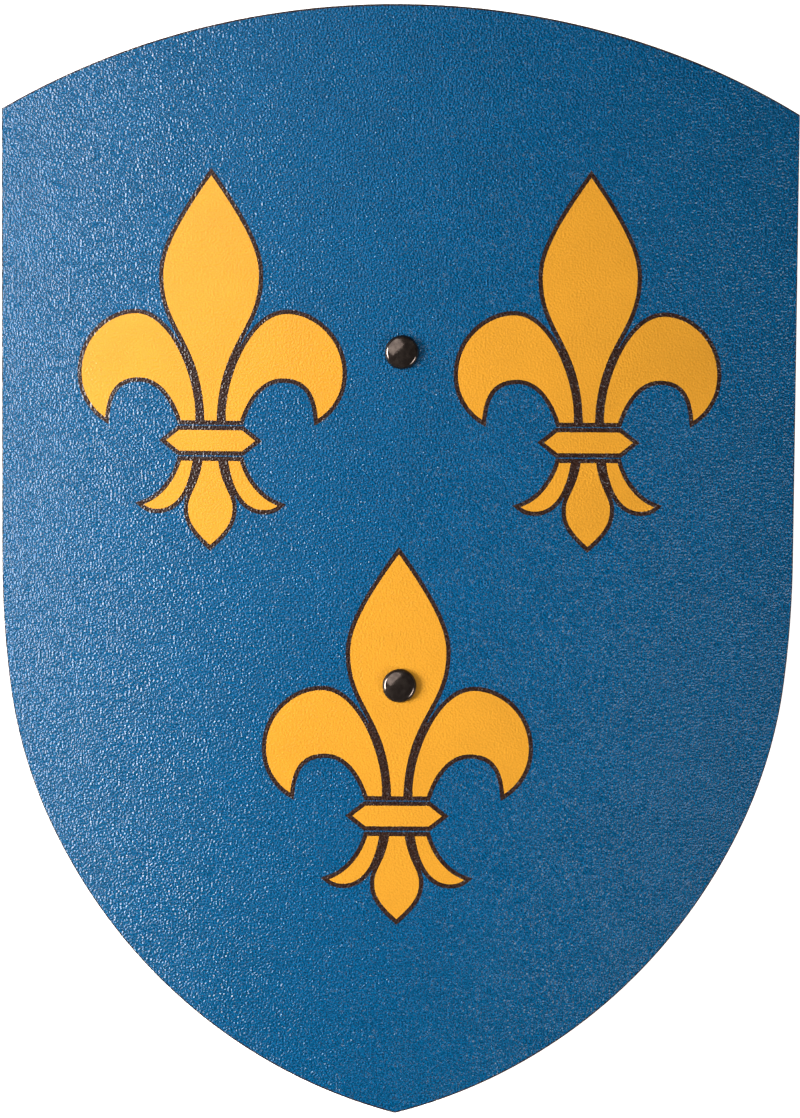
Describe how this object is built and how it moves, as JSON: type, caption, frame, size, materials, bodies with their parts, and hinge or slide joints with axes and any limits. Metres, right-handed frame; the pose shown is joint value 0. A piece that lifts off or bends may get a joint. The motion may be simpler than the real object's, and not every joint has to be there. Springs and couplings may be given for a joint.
{
  "type": "toy heater shield",
  "caption": "Child's toy heater shield: bent plywood board faced with a blue printed film of orange fleurs-de-lis, with domed cap rivets holding a leather arm strap behind.",
  "frame": {"origin": "under the middle of the shield's box, on the surface that it lies on", "axes": "+X across the shield, +Y to its top edge, +Z out of its printed face"},
  "size_m": [0.2994, 0.414, 0.0274],
  "materials": {
    "plywood": "bare birch plywood, its cut edges darkened",
    "printed_film": "printed film with a fine pebbled grain and a soft sheen, blue with orange figures outlined in dark brown",
    "rivet_metal": "dark bronzed, glossy",
    "leather": "dark brown strap leather"
  },
  "bodies": {
    "root": {"board": "plywood", "front_film": "printed_film", "upper_rivet": "rivet_metal", "lower_rivet": "rivet_metal", "arm_strap": "leather"}
  },
  "joints": []
}
